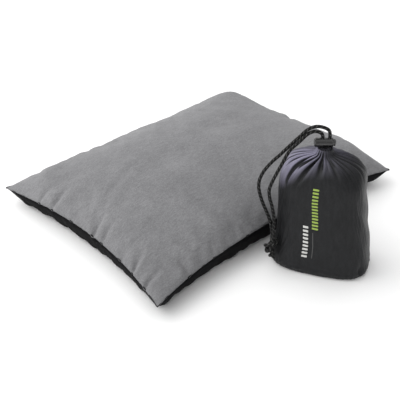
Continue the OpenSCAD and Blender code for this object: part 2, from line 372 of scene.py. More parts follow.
def makeUnderCloth():
    look = Look("wovenUnderCloth", Sheen_Weight=0.004, Sheen_Roughness=0.4, Specular_IOR_Level=0.05)
    weave = weaveHeight(look, 0.43, 0.33, underCloth["pitch"])
    mottle = look.grain(60, 3.0)
    fuzz = look.grain(1400, 2.0)
    tone = weave * 0.45 + mottle * 0.4 + fuzz * 0.2
    colour = look.blend(tone.clipped(0.3, 0.8), underCloth["dark"], underCloth["light"])
    return look.feed(Base_Color=colour, Roughness=0.62 + mottle * 0.2,
                     Normal=look.bumped(weave + fuzz * 0.4, 0.00018, 0.7))


def makeFibre():
    look = Look("looseFibre", Sheen_Weight=0.3, Roughness=0.95)
    strands = look.grain(900, 5.0, look.stretched((1, 0.2, 1), 0.8), 0.7)
    clumps = look.grain(70, 3.0)
    colour = look.blend(strands * 0.6 + clumps * 0.4, (0.62, 0.62, 0.6), (0.92, 0.92, 0.9))
    return look.feed(Base_Color=colour, Normal=look.bumped(strands + clumps, 0.001, 0.8))


def makeThread(name, dark, light):
    look = Look(name, Sheen_Weight=0.2, Specular_IOR_Level=0.35)
    twist = (look.painted("turnPlace") * (4 * math.pi) + look.painted("alongPlace") * 5200).wave()
    fuzz = look.grain(2600, 2.0)
    colour = look.blend((twist * 0.35 + fuzz * 0.5 + 0.25).clipped(0.1, 0.9), dark, light)
    return look.feed(Base_Color=colour, Roughness=0.6 + fuzz * 0.25, Normal=look.bumped(twist, 0.0001, 0.8))


def makeTape(name, dark, light, rib):
    look = Look(name, Sheen_Weight=0.25, Sheen_Roughness=0.3, Specular_IOR_Level=0.4)
    place = look.place()
    ribs = look.node("ShaderNodeTexWave", {"wave_type": "BANDS", "bands_direction": "DIAGONAL"},
                     {"Vector": place, "Scale": rib, "Distortion": 0.6, "Detail": 2.0}, "Fac")
    wear = look.grain(120, 4.0)
    fuzz = look.grain(2200, 2.0)
    colour = look.blend((ribs * 0.4 + wear * 0.4 + fuzz * 0.3).clipped(0.2, 0.9), dark, light)
    return look.feed(Base_Color=colour, Roughness=0.5 + wear * 0.3,
                     Normal=look.bumped(ribs + fuzz * 0.5, 0.00012, 0.7))


# the violet and ridge colours are a painted sheen on the gathers, lightest as a painted highlight on the fold
# ridges
nylon = {"deep": (0.0085, 0.0088, 0.0095), "face": (0.0165, 0.0170, 0.0185), "paintedSheenViolet": (0.060, 0.057, 0.084),
         "ridge": (0.300, 0.286, 0.385), "pitch": 0.55 * mm, "panel": (0.31, 0.185)}


def makeNylon(name, withPaintedSheen=True):
    look = Look(name, Sheen_Weight=0.012, Sheen_Roughness=0.35, Specular_IOR_Level=0.17)
    weave = weaveHeight(look, *nylon["panel"], nylon["pitch"])
    crinkle = look.grain(95, 5.0, look.stretched((1.6, 1.6, 0.55)), 0.62)
    fine = look.grain(420, 3.0)
    # darker where the crinkle relief is low, from the same noise as the soft bump: painted shade in the
    # crinkle hollows along with random tone
    base = look.blend((crinkle * 0.7 + fine * 0.3).clipped(0.25, 0.75), nylon["deep"], nylon["face"])
    rough = crinkle * 0.22 + 0.34
    # painted sheen: on the gathers the colour goes to the painted violet, lighter on fold ridges (painted
    # highlight) and left dark in fold valleys (painted shade)
    if withPaintedSheen:
        ridge, gatherSheen = look.painted("ridge"), look.painted("gatherSheen")
        paintedSheenColour = look.blend(ridge.clipped(0.25, 0.95), nylon["paintedSheenViolet"], nylon["ridge"])
        paintedSheenAmount = (gatherSheen * (0.25 + ridge * 0.75)).clipped(0.05, 1.0)
        base = look.blend(paintedSheenAmount, base, paintedSheenColour)
    soft = look.bumped(crinkle, 0.0011, 0.6)
    return look.feed(Base_Color=base, Roughness=rough, Normal=look.bumped(weave, 0.00006, 0.5, soft))


ink = {"wear": 260}


def makeInk():
    look = Look("printedInk", Specular_IOR_Level=0.3)
    colour = look.node("ShaderNodeAttribute", {"attribute_name": "inkColour"}, output="Color")
    worn = look.grain(ink["wear"], 4.0).clipped(0.2, 0.42)
    weave = look.grain(1800, 2.0)
    faded = look.blend(worn * 0.85 + weave * 0.15, (0.12, 0.12, 0.11), colour)
    return look.feed(Base_Color=faded, Roughness=0.5 + weave * 0.25, Normal=look.bumped(weave, 0.00005, 0.6))


braid = {"carriers": 8, "pitch": 3.2 * mm, "dark": (0.0015, 0.0015, 0.0016), "light": (0.012, 0.012, 0.012),
         "fleck": (0.20, 0.20, 0.195), "fleckPitch": 5.3 * mm}


def makeCord():
    look = Look("braidedCord", Sheen_Weight=0.02, Specular_IOR_Level=0.12)
    turn, along = look.painted("turnPlace"), look.painted("alongPlace")
    first = (turn * braid["carriers"] + along / braid["pitch"]) * math.pi
    second = (turn * braid["carriers"] - along / braid["pitch"]) * math.pi
    strands = first.wave().size() * second.wave().size()
    threads = (along * 9000 + turn * 40).wave()
    fuzz = look.grain(1700, 3.0)
    tone = (strands * 0.75 + fuzz * 0.3).clipped(0.05, 0.95)
    colour = look.blend(tone, braid["dark"], braid["light"])
    marked = (turn * (4 * math.pi) + along * (2 * math.pi / braid["fleckPitch"])).wave() * 0.7 + fuzz * 0.5
    flecks = marked.clipped(0.68, 0.9) * strands.clipped(0.3, 0.7)
    colour = look.blend(flecks * 0.75, colour, braid["fleck"])
    return look.feed(Base_Color=colour, Roughness=0.55 + fuzz * 0.25,
                     Normal=look.bumped(threads * 0.25 + fuzz * 0.5, 0.00012, 0.7))


def makePlastic(name, colour, worn, rough):
    look = Look(name, Specular_IOR_Level=0.75, Coat_Roughness=0.25)
    grit = look.grain(2400, 2.0)
    cloud = look.grain(160, 4.0)
    rubbed = look.grain(420, 5.0, look.stretched((1, 1, 3.0))).clipped(0.55, 0.8)
    tone = look.blend(cloud.clipped(0.3, 0.7), colour, [c * 1.5 for c in colour])
    return look.feed(Base_Color=look.blend(rubbed * 0.4, tone, worn),
                     Roughness=rubbed * 0.14 + rough + grit * 0.08,
                     Coat_Weight=cloud * 0.2, Normal=look.bumped(grit, 0.00004, 0.6))


def makeSteel():
    look = Look("springSteel", Metallic=1.0)
    drawn = look.grain(1900, 3.0, look.stretched((1, 1, 0.2)))
    colour = look.blend(drawn, (0.42, 0.42, 0.43), (0.68, 0.68, 0.67))
    return look.feed(Base_Color=colour, Roughness=0.24 + drawn * 0.2, Normal=look.bumped(drawn, 0.00003, 0.5))


looks = {
    "brushed_top_cloth": makeSuede(),
    "woven_under_cloth": makeUnderCloth(),
    "white_fibre": makeFibre(),
    "grey_thread": makeThread("greyThread", (0.13, 0.13, 0.135), (0.3, 0.3, 0.31)),
    "label_tape": makeTape("labelTape", (0.62, 0.62, 0.6), (0.9, 0.9, 0.88), 700),
    "sack_nylon": makeNylon("nylonWithPaintedSheen"),
    "black_tape": makeTape("bindingTape", (0.006, 0.006, 0.006), (0.035, 0.035, 0.036), 900),
    "printed_ink": makeInk(),
    "black_thread": makeThread("blackThread", (0.006, 0.006, 0.006), (0.03, 0.03, 0.03)),
    "black_cord": makeCord(),
    "lock_plastic": makePlastic("lockPlastic", (0.0035, 0.0035, 0.0036), (0.02, 0.02, 0.02), 0.22),
    "spring_steel": makeSteel(),
    "button_plastic": makePlastic("buttonPlastic", (0.006, 0.006, 0.006), (0.03, 0.03, 0.03), 0.26)}
plainNylon = makeNylon("baseNylon", withPaintedSheen=False)
print("materials made:", len(looks) + 1)


# ---- camera ----
view = {"azimuth": -42.14, "elevation": 34.73, "distance": 1.0592, "target": (-0.0352, -0.0370, 0.022),
        "lens": 72.62}


def makeCamera():
    turn, lift = math.radians(view["azimuth"]), math.radians(view["elevation"])
    back = Vector((math.sin(turn) * math.cos(lift), -math.cos(turn) * math.cos(lift), math.sin(lift)))
    clearSelection()
    bpy.ops.object.camera_add(location=Vector(view["target"]) + back * view["distance"],
                              rotation=back.to_track_quat("Z", "Y").to_euler())
    camera = bpy.context.object
    camera.data.sensor_width, camera.data.lens = 36, view["lens"]
    bpy.context.scene.camera = camera


makeCamera()

# ---- cords ----
cordSize = {"radius": 1.92 * mm, "relief": 0.24 * mm, "sides": 40, "ring": 0.45 * mm}
# the routes repeat the CAD's points, in millimetres
outerStrand = {
    "length": 0.2145,
    "route": [(7.5, -204.4, 159.2), (7.5, -204.4, 168), (7.5, -204.4, 176), (6, -203, 182), (1, -198, 185.5),
              (-5, -192.5, 186), (-11, -187, 182), (-17, -181, 172.5), (-24, -174, 161), (-32, -168, 150),
              (-40, -163, 141), (-47, -159, 131), (-51.5, -157, 121), (-53, -157, 111), (-52, -159, 100),
              (-50, -162, 89), (-47, -166, 77), (-45, -169, 68), (-43.5, -171.5, 58), (-43, -173, 48),
              (-43, -173.5, 39)]}
innerStrand = {
    "length": 0.190,
    "route": [(1.5, -199, 159.2), (1.5, -199, 168), (1.5, -199, 175), (-1, -197, 179), (-6, -192.8, 180.5),
              (-12, -188.5, 177.5), (-18, -184.5, 170), (-27, -179, 160), (-32, -177, 152),
              (-36.5, -175.5, 143), (-41, -173, 132), (-45, -170.5, 121), (-48, -169, 110),
              (-47.5, -170, 99), (-46, -172.5, 89), (-45, -174.5, 79), (-44.5, -176, 69), (-45, -177, 59),
              (-45.5, -177.5, 49), (-45, -177, 39)]}
knot = {"centre": (-44.9, -174.9, 31.4), "pairSpacing": 1.8, "size": 1.35,
        # one loop over the standing part and back through itself, from the centre
        "loop": [(0, 0, 7), (-0.6, -1.4, 4.2), (-3.2, -2.6, 1.0), (-4.0, -0.6, -2.6), (-1.4, 2.6, -3.8),
                 (2.4, 3.0, -1.4), (3.9, 0.6, 2.2), (1.6, -3.2, 3.2), (-2.4, -3.0, 2.6), (-4.2, 1.0, 1.0),
                 (-1.6, 2.4, -1.4), (0.6, 0.4, -4.6), (0.9, -0.6, -8.4), (1.0, -1.4, -12.0)],
        "tails": [(2.2, -2.4, -16.2), (-1.4, 0.4, -14.6)]}


def braidRelief(turn, along):
    # two sets of carriers that cross
    first = np.abs(np.sin(np.pi * (turn * braid["carriers"] + along / braid["pitch"])))
    second = np.abs(np.sin(np.pi * (turn * braid["carriers"] - along / braid["pitch"])))
    return cordSize["relief"] * (first * second - 0.35)


def makeCordTube(name, points):
    return roundTube(name, points, cordSize["radius"], cordSize["sides"], braidRelief)


def makeKnot():
    centre = np.array(knot["centre"])
    tubes = []
    for side, tail in zip((1, -1), knot["tails"]):
        middle = smoothRoute(knot["loop"], 8)
        across, over = carriedFrames(middle, np.array((0.5, 0.866, 0)))
        turned = np.linspace(0, 0.9, len(middle))[:, None]
        apart = across * np.cos(turned) + over * np.sin(turned)
        beside = middle + side * knot["pairSpacing"] * apart
        beside *= knot["size"]
        path = np.vstack([beside, [beside[-1] * 0.35 + np.array(tail) * 0.65, np.array(tail)]])
        points = evenly(smoothRoute(centre + path, 4) * mm, cordSize["ring"])
        tubes.append(makeCordTube("knotCord", points))
    return joinPieces("drawcordKnot", tubes)


knotPiece = finishPiece(makeKnot(), "sack", "black_cord", "drawcord_knot")
for name, node, strand in (("drawcordOuterStrand", "drawcord_outer_strand", outerStrand),
                           ("drawcordInnerStrand", "drawcord_inner_strand", innerStrand)):
    points = evenly(smoothRoute(strand["route"], 10) * mm, cordSize["ring"])
    piece = finishPiece(makeCordTube(name, points), "sack", "black_cord", node)
    print(name, "is", round(lengths(points)[-1], 4), "m long")
print("cords made")

# ---- pillow ----
pillow = {
    "halfLength": 0.210, "halfWidth": 0.160, "endPull": 0.016, "sidePull": 0.018, "pullSkew": 0.3,
    "sidePower": 3.2, "seamHeight": 0.032, "tipHeight": 0.022, "crown": 0.048, "crownPower": 2.4,
    "crownFullness": 0.72, "columns": 104, "rows": 80, "cloth": 0.8 * mm,
    # extra height of the crown: place across and along, spread, height
    "lumps": [(0.85, 0.0, 0.45, 0.003), (0.88, 0.84, 0.3, 0.013), (0.86, -0.6, 0.36, 0.011),
              (0.92, -0.88, 0.26, 0.013), (-0.90, 0.86, 0.28, 0.012), (-0.1, 0.75, 0.5, -0.001)],
    "underPower": (18, 14), "backTipDrop": 0.011, "underWave": 0.12}
# the cloth starts with only a share of the pull at its sides
cloth = {"startShare": 0.45, "lift": 0.001, "jitter": 0.0005, "frames": 10, "quality": 5, "mass": 0.3,
         "stretch": 15, "shear": 5, "bending": 0.6, "pressure": 4.0, "shrink": 0.02, "shrinkWidth": 0.007,
         "gap": 0.0005, "friction": 5}
# how much of the cloth's wrinkles is kept: near the seam, over the middle, beneath and at the tips
wrinkles = {"rounds": 70, "seamFade": 0.005, "calm": 0.35, "calmReach": 0.04, "underShare": 0.5,
            "tipStart": 0.012, "tipReach": 0.07}
underWaves = waves(17, 3.0, 7.0)
startJitter = waves(5, 2.0, 5.0)


def planPoint(u, v, endPull, sidePull):
    # the ends draw in most near their front half, and the long sides almost evenly
    skew = 1 - pillow["pullSkew"] * v * np.maximum(-u, 0)
    x = (pillow["halfLength"] - endPull * (1 - v * v) * skew) * u
    y = (pillow["halfWidth"] - sidePull * (1 - np.abs(u) ** pillow["sidePower"])) * v
    return x, y


def pillowPoint(u, v, side, share=1.0):
    # crowned above, and resting on its underside; share is how much its sides are pulled in
    x, y = planPoint(u, v, pillow["endPull"] * share, pillow["sidePull"] * share)
    power = pillow["crownPower"]
    seam = pillow["seamHeight"] - (pillow["seamHeight"] - pillow["tipHeight"]) * (u * u * v * v) ** 0.9
    seam = seam - pillow["backTipDrop"] * (np.maximum(u, 0) * np.maximum(v, 0)) ** 6
    edge = (1 - np.abs(u) ** power) * (1 - np.abs(v) ** power)
    rise = pillow["crown"] * np.maximum(edge, 0) ** pillow["crownFullness"]
    long, wide = pillow["underPower"]
    flat = (1.5 * (1 - np.abs(u) ** long) * (1 - np.abs(v) ** wide)) ** 0.7
    flat = flat * (1 + pillow["underWave"] * underWaves(x / 0.1, y / 0.1))
    if side < 0:
        return np.stack([x, y, seam - seam * np.minimum(1, flat) * 0.97], axis=1)
    z = seam + rise
    for across, along, spread, height in pillow["lumps"]:
        away = ((u - across) / spread) ** 2 + ((v - along) / spread) ** 2
        z = z + height * np.exp(-away) * np.minimum(np.maximum(edge, 0) * 6, 1) ** 0.5
    return np.stack([x, y, z], axis=1)


def planPlaces(obj):
    # each point's place on the flat pillow, -1 to 1 both ways, and its side
    flat = np.zeros(len(obj.data.vertices) * 3)
    obj.data.attributes["planPlace"].data.foreach_get("vector", flat)
    return flat.reshape(-1, 3)


def fromSeam(plan):
    # how far in from the seam each point lies
    return np.minimum((1 - np.abs(plan[:, 0])) * pillow["halfLength"],
                      (1 - np.abs(plan[:, 1])) * pillow["halfWidth"])


def gridPlaces(plan, columns, rows):
    # the column and row of each point
    return (np.rint((plan[:, 0] + 1) / 2 * columns).astype(int),
            np.rint((plan[:, 1] + 1) / 2 * rows).astype(int))


def gridOf(shell, points, side, columns, rows):
    # one side's points as a grid, out to the seam
    plan = planPlaces(shell)
    grid = np.zeros((columns + 1, rows + 1, 3))
    rim = np.maximum(np.abs(plan[:, 0]), np.abs(plan[:, 1])) > 0.9999
    use = (plan[:, 2] * side > 0) | rim
    grid[gridPlaces(plan[use], columns, rows)] = points[use]
    return grid


def addSeamGroup(obj):
    # how near each point is to the seam, for the cloth to draw in there
    group = obj.vertex_groups.new(name="seam")
    weight = np.round(np.clip(1 - fromSeam(planPlaces(obj)) / cloth["shrinkWidth"], 0, 1), 2)
    for value in np.unique(weight[weight > 0]):
        group.add(np.flatnonzero(weight == value).tolist(), float(value), "REPLACE")


def makePillowShell():
    sides = []
    for side in (1, -1):
        def place(s, t):
            start = pillowPoint(2 * s - 1, 2 * t - 1, side, cloth["startShare"])
            jitter = startJitter(start[:, 0] / 0.1, start[:, 1] / 0.1) * cloth["jitter"]
            start[:, 2] += cloth["lift"] + (jitter if side > 0 else 0)
            return start

        obj = gridPiece("pillowSide", pillow["columns"], pillow["rows"],
                        lambda s, t: np.stack([s, t, 0 * s], axis=1))
        plan = getPoints(obj.data)
        plan = np.stack([2 * plan[:, 0] - 1, 2 * plan[:, 1] - 1, np.full(len(plan), side)], axis=1)
        layer = obj.data.attributes.new("planPlace", "FLOAT_VECTOR", "POINT")
        layer.data.foreach_set("vector", plan.ravel())
        setPoints(obj.data, place((plan[:, 0] + 1) / 2, (plan[:, 1] + 1) / 2))
        for face in obj.data.polygons:
            face.material_index = 0 if side > 0 else 1
        for look in ("brushed_top_cloth", "woven_under_cloth"):
            obj.data.materials.append(looks[look])
        if side < 0:
            flipFaces(obj)
        sides.append(obj)
    shell = joinPieces("pillowShell", sides)
    mergeDoubles(shell, 1e-5, outward=False)
    addSeamGroup(shell)
    return shell


def swell(shell):
    # the filling pushes the cloth out while the seam draws in
    clearSelection()
    bpy.ops.mesh.primitive_plane_add(size=2)
    ground = bpy.context.object
    bpy.ops.object.modifier_add(type="COLLISION")
    ground.collision.thickness_outer = cloth["gap"]
    ground.collision.cloth_friction = cloth["friction"]
    pick(shell)
    bpy.ops.object.modifier_add(type="CLOTH")
    swelling = shell.modifiers[-1]
    settings = swelling.settings
    settings.quality, settings.mass = cloth["quality"], cloth["mass"]
    settings.tension_stiffness = settings.compression_stiffness = cloth["stretch"]
    settings.shear_stiffness, settings.bending_stiffness = cloth["shear"], cloth["bending"]
    settings.use_pressure, settings.uniform_pressure_force = True, cloth["pressure"]
    settings.effector_weights.gravity = 0
    settings.vertex_group_shrink, settings.shrink_min, settings.shrink_max = "seam", 0, cloth["shrink"]
    swelling.collision_settings.distance_min = cloth["gap"]
    swelling.point_cache.frame_start, swelling.point_cache.frame_end = 1, cloth["frames"]
    for step in range(1, cloth["frames"] + 1):
        bpy.context.scene.frame_set(step)
    pick(shell)
    bpy.ops.object.modifier_apply(modifier=swelling.name)
    bpy.context.scene.frame_set(1)
    bpy.data.objects.remove(ground)
    print("pillow swelled over", cloth["frames"], "frames")


def softened(grid, rounds):
    # the grid with its fine variation taken out
    for _ in range(rounds):
        for axis in (0, 1):
            wide = np.pad(grid, [(1, 1) if k == axis else (0, 0) for k in range(3)], mode="edge")
            count = grid.shape[axis]
            low = np.take(wide, range(0, count), axis)
            high = np.take(wide, range(2, count + 2), axis)
            grid = 0.5 * grid + 0.25 * (low + high)
    return grid


def fitPillow(shell, before):
    # the wrinkles that the cloth made go onto the stuffed shape
    points, plan = getPoints(shell.data), planPlaces(shell)
    columns, rows = pillow["columns"], pillow["rows"]
    u, v = plan[:, 0], plan[:, 1]
    away = fromSeam(plan)
    tip = np.hypot((1 - np.abs(u)) * pillow["halfLength"], (1 - np.abs(v)) * pillow["halfWidth"])
    calm = wrinkles["calm"] + (1 - wrinkles["calm"]) * np.exp(-away / wrinkles["calmReach"])
    share = (1 - np.exp(-away / wrinkles["seamFade"])) * calm
    share = share * smoothStep((tip - wrinkles["tipStart"]) / wrinkles["tipReach"])
    out = points.copy()
    for side in (1, -1):
        moved = gridOf(shell, points - before, side, columns, rows)
        wrinkle = moved - softened(moved, wrinkles["rounds"])
        mine = (plan[:, 2] * side > 0) | (away < 1e-6)
        target = pillowPoint(u, v, side)
        target[:, 2] = np.maximum(target[:, 2], 0)
        moved = wrinkle[gridPlaces(plan, columns, rows)] * share[:, None]
        if side < 0:
            moved[:, 2] *= wrinkles["underShare"]
        out[mine] = (target + moved)[mine]
    out[:, 2] = np.maximum(out[:, 2], 0)
    print("furthest point moved", round(float(np.abs(out - points).max()), 4))
    setPoints(shell.data, out)


# each pucker: the seam it starts from, its place along it, width, reach and depth in mm
puckers = [
    ("left", 0.56, 5.0, 30, 2.2), ("left", 0.40, 5.5, 42, 3.0), ("left", 0.16, 6, 26, 1.5),
    ("left", -0.10, 6.5, 44, 3.4), ("left", -0.22, 5, 30, 2.2), ("left", -0.46, 7, 34, 1.8),
    ("left", -0.63, 4.5, 30, 2.6), ("left", -0.80, 4.5, 36, 2.8), ("front", -0.72, 6, 34, 2.0),
    ("front", -0.52, 6, 28, 1.5), ("front", -0.25, 7, 34, 1.6), ("front", 0.1, 6, 30, 2.0),
    ("front", 0.42, 7, 36, 1.8), ("front", 0.7, 6, 30, 2.2), ("right", -0.66, 6, 34, 2.4),
    ("right", -0.3, 7, 30, 1.2), ("right", 0.05, 7, 38, 1.2), ("right", 0.38, 7, 28, 1.0),
    ("right", 0.7, 5, 34, 2.4), ("back", -0.8, 6, 32, 2.0), ("back", -0.45, 7, 34, 1.8),
    ("back", -0.12, 6, 28, 1.6), ("back", 0.2, 7, 36, 1.8), ("back", 0.56, 6, 30, 2.0),
    ("back", 0.82, 5, 30, 2.2)]
puckerShape = {"depth": 1.5, "lean": 0.22, "widen": 0.6, "valley": 1.6, "sharpness": 2.1, "valleyPower": 1.25,
               "ridge": 0.45, "ridgeAt": 1.35}
seamSides = {"left": (0, -1), "right": (0, 1), "front": (1, -1), "back": (1, 1)}
seamRipple = {"depth": 0.0007, "reach": 0.016, "waves": waves(11, 5.0, 9.0)}
softLumps = {"depth": 0.0010, "waves": waves(21, 0.9, 2.4)}
# how much of the push each place takes: on the seam, above and beneath
pushShare = {"seam": 0.55, "top": 1.0, "under": 0.25, "underReach": 0.010}
apart = {"gap": 0.0035, "reach": 0.012}


def puckerPush(plan):
    # small tucks that run in from the seam
    half = (pillow["halfLength"], pillow["halfWidth"])
    push = np.zeros(len(plan))
    for at, (seam, middle, width, reach, depth) in enumerate(puckers):
        axis, sign = seamSides[seam]
        away = (1 - sign * plan[:, axis]) * half[axis] / mm
        lean = puckerShape["lean"] * math.sin(at * 2.3)
        off = (plan[:, 1 - axis] - middle) * half[1 - axis] / mm - lean * away
        width = width * (1 + away / reach * puckerShape["widen"])
        fade = np.clip(1 - away / reach, 0, 1) ** 1.4 * (0.35 + 0.65 * smoothStep(away / 7))
        drop = np.abs(off / width * puckerShape["sharpness"]) ** puckerShape["valleyPower"]
        valley = puckerShape["valley"] * np.exp(-drop)
        beside = puckerShape["ridgeAt"] * width
        ridge = np.exp(-((off - beside) / width) ** 2) + np.exp(-((off + beside) / width) ** 2)
        push += puckerShape["depth"] * depth * mm * fade * (puckerShape["ridge"] * ridge - valley)
    return push


def puckerPillow(shell):
    # tucks at the seam, a ripple along it, and low lumps across the panels
    points, plan = getPoints(shell.data), planPlaces(shell)
    edge = np.maximum(1 - np.maximum(np.abs(plan[:, 0]), np.abs(plan[:, 1])), 0)
    inward = edge * pillow["halfLength"]
    x, y = points[:, 0] / 0.1, points[:, 1] / 0.1
    push = puckerPush(plan)
    push += seamRipple["waves"](x, y) * seamRipple["depth"] * np.exp(-inward / seamRipple["reach"])
    push += softLumps["waves"](x, y) * softLumps["depth"] * smoothStep(edge * 8)
    onSeam, above = edge < 1e-4, plan[:, 2] > 0
    share = np.where(onSeam, pushShare["seam"], np.where(above, pushShare["top"], pushShare["under"]))
    lifted = points.copy()
    lifted[:, 2] += push * share * np.where(above, 1, -1)
    under = (plan[:, 2] < 0) & (edge > 1e-4)
    grow = smoothStep(inward / pushShare["underReach"])
    beneath = points[:, 2] + push * pushShare["seam"] * (1 - grow) - push * pushShare["under"] * grow
    lifted[under, 2] = beneath[under]
    lifted[:, 2] = np.maximum(lifted[:, 2], 0)
    keepApart(shell, lifted)
    setPoints(shell.data, lifted)


def keepApart(shell, points):
    # the top cloth stays above the under cloth right out to the tips
    plan = planPlaces(shell)
    columns, rows = pillow["columns"] * 2, pillow["rows"] * 2
    under = gridOf(shell, points, -1, columns, rows)[gridPlaces(plan, columns, rows)]
    away = fromSeam(plan)
    least = under[:, 2] + apart["gap"] * smoothStep(away / apart["reach"])
    top = (plan[:, 2] > 0) & (away > 1e-5)
    points[top, 2] = np.maximum(points[top, 2], least[top])


def sampleGrid(grid, u, v):
    # the point between four grid points
    columns, rows = grid.shape[0] - 1, grid.shape[1] - 1
    x, y = (u + 1) / 2 * columns, (v + 1) / 2 * rows
    i, j = np.clip(x.astype(int), 0, columns - 1), np.clip(y.astype(int), 0, rows - 1)
    a, b = (x - i)[:, None], (y - j)[:, None]
    near = grid[i, j] * (1 - a) + grid[i + 1, j] * a
    far = grid[i, j + 1] * (1 - a) + grid[i + 1, j + 1] * a
    return near * (1 - b) + far * b


shell = makePillowShell()
startPoints = getPoints(shell.data)
swell(shell)
fitPillow(shell, startPoints)
modify(shell, "SUBSURF", levels=1, render_levels=1)
puckerPillow(shell)
topGrid, underGrid = (gridOf(shell, getPoints(shell.data), side, pillow["columns"] * 2, pillow["rows"] * 2)
                      for side in (1, -1))

fillingShape = {"insetU": 0.955, "insetV": 0.942, "gap": 2.4 * mm, "round": 0.05}


def makeFilling():
    def sidePlace(side):
        def place(s, t):
            u, v = 2 * s - 1, 2 * t - 1
            inU, inV = u * fillingShape["insetU"], v * fillingShape["insetV"]
            top, under = sampleGrid(topGrid, inU, inV), sampleGrid(underGrid, inU, inV)
            top[:, 2] -= fillingShape["gap"]
            under[:, 2] += fillingShape["gap"] * 0.6
            middle = (top + under) / 2
            rim = np.clip((1 - np.maximum(np.abs(u), np.abs(v))) / fillingShape["round"], 0, 1)
            share = np.sqrt(np.maximum(1 - (1 - rim) ** 2, 0))[:, None]
            out = middle + ((top if side > 0 else under) - middle) * share
            clumps = waves(31 + side, 3.0, 8.0)(u * 2, v * 2) * 0.0008 * share[:, 0]
            out[:, 2] -= side * np.abs(clumps)
            return out
        return place

    sides = [gridPiece("fillingSide", 96, 72, sidePlace(side), flip=side < 0) for side in (1, -1)]
    filling = joinPieces("pillowFillingPad", sides)
    mergeDoubles(filling, 1e-6)
    return filling


filling = finishPiece(makeFilling(), "pillow", "white_fibre", "pillow_filling")


def seamLine(u, v, inset):
    # points between the panels, a little inside the seam
    inU = u * (1 - inset / pillow["halfLength"])
    inV = v * (1 - inset / pillow["halfWidth"])
    return (sampleGrid(topGrid, inU, inV) + sampleGrid(underGrid, inU, inV)) / 2


seamThread = {"inset": 3 * mm, "corner": 0.95, "radius": 0.34 * mm}


def twisted(pace):
    # the relief of a two-ply thread
    return lambda turn, along: 0.05 * mm * np.sin(turn * 4 * np.pi + along * pace)


def makeSeamThread():
    run = np.linspace(-seamThread["corner"], seamThread["corner"], 60)
    one = np.ones_like(run)
    u, v = np.concatenate([run, one, -run, -one]), np.concatenate([-one, run, one, -run])
    line = seamLine(u, v, seamThread["inset"])
    line = evenly(np.vstack([line, line[:1]]), 1.2 * mm)
    return roundTube("pillowSeamThread", line[:-1], seamThread["radius"], 8, twisted(3000))


finishPiece(makeSeamThread(), "pillow", "grey_thread", "pillow_edge_thread")

closing = {"count": 14, "pitch": 9 * mm, "length": 5 * mm, "radius": 0.36 * mm, "stand": 0.25 * mm}


def makeClosingStitches():
    stitches = []
    reach = pillow["halfLength"] - pillow["endPull"]
    for k in range(closing["count"]):
        middle = (k - (closing["count"] - 1) / 2) * closing["pitch"]
        across = np.linspace(-0.5, 0.5, 9)
        u = (middle + across * closing["length"]) / reach
        line = sampleGrid(topGrid, u, np.ones_like(u))
        bow = np.cos(across * np.pi) * 0.75 * mm - 0.35 * mm + closing["stand"]
        line[:, 1] += bow
        line[:, 2] += across * 0.9 * mm * (1 if k % 2 else 0.6)
        stitches.append(roundTube("stitch", evenly(line, 0.3 * mm), closing["radius"], 10, twisted(5000)))
    return joinPieces("pillowClosingStitch", stitches)


finishPiece(makeClosingStitches(), "pillow", "grey_thread", "pillow_closing_stitches")

label = {"u": 0.48, "halfSeam": 0.2, "width": 24 * mm, "length": 15 * mm, "thickness": 0.35 * mm, "droop": 48}


def makeCareLabel():
    def place(s, t):
        u = label["u"] + (s - 0.5) * label["width"] / label["halfSeam"]
        root = sampleGrid(topGrid, u, np.ones_like(u))
        bend = np.radians(label["droop"] * (0.25 + 0.75 * t) + 6 * (s - 0.5))
        out = label["length"] * (t - 0.06)
        root[:, 1] += out * np.cos(bend * 0.75)
        root[:, 2] -= out * np.sin(bend * 0.75) + 0.3 * mm
        root[:, 2] += 0.5 * mm * np.sin(s * 5.5) * t
        return root

    obj = gridPiece("pillowCareLabel", 40, 26, place)
    thicken(obj, label["thickness"], 0)
    return obj


finishPiece(makeCareLabel(), "pillow", "label_tape", "pillow_care_label")


def splitPanels():
    # the shell parts along its seam into the two cloths
    onWholeMesh(shell, lambda: bpy.ops.mesh.separate(type="MATERIAL"))
    halves = sorted(bpy.context.selected_objects, key=lambda o: -getPoints(o.data)[:, 2].mean())
    for panel, name in zip(halves, ("pillowTopCloth", "pillowUnderCloth")):
        panel.name = panel.data.name = name
        panel.vertex_groups.clear()
        thicken(panel, pillow["cloth"])
    return halves


topCloth, bottomCloth = splitPanels()
finishPiece(topCloth, "pillow", "brushed_top_cloth", "pillow_top_panel")
finishPiece(bottomCloth, "pillow", "woven_under_cloth", "pillow_bottom_panel")
print("pillow made")

# ---- stuff sack ----
sack = {
    "centre": (7, -204), "turn": -60, "leanAngle": -42, "power": 3, "squareBelow": 125, "mouthHeight": 153.2,
    "cloth": 0.8,
    # height, half width, half depth
    "profile": [(0, 56, 33), (3, 58.4, 35.2), (8, 59.5, 36.4), (20, 58, 36.6), (45, 54.5, 36.4), (75, 52, 36),
                (105, 50, 35.5), (122, 49, 34.8), (132, 47.2, 33.4), (139, 43.6, 30.8), (144, 38.2, 27.2),
                (147.8, 30.6, 22.4), (150.8, 20.6, 16.4), (152.8, 12.9, 12.0), (154.8, 10.7, 10.5),
                (157.2, 9.9, 9.9), (159.7, 8.7, 8.7)],
    "lean": [(0, 4), (45, 4), (105, -1.5), (139, -2), (153.2, -3.4)],
    "columns": 320, "rows": 150}
sackCurve = smoothRoute(sack["profile"], 10)
sackReach = lengths(np.stack([sackCurve[:, 0], sackCurve[:, 1:].mean(axis=1), 0 * sackCurve[:, 0]], axis=1))
sackTall = sackReach[-1]
leanTable = np.array(sack["lean"])


def rowAt(height):
    # how far along the profile a height lies, from 0 at the base to 1 at the mouth
    return np.interp(height, sackCurve[:, 0], sackReach) / sackTall


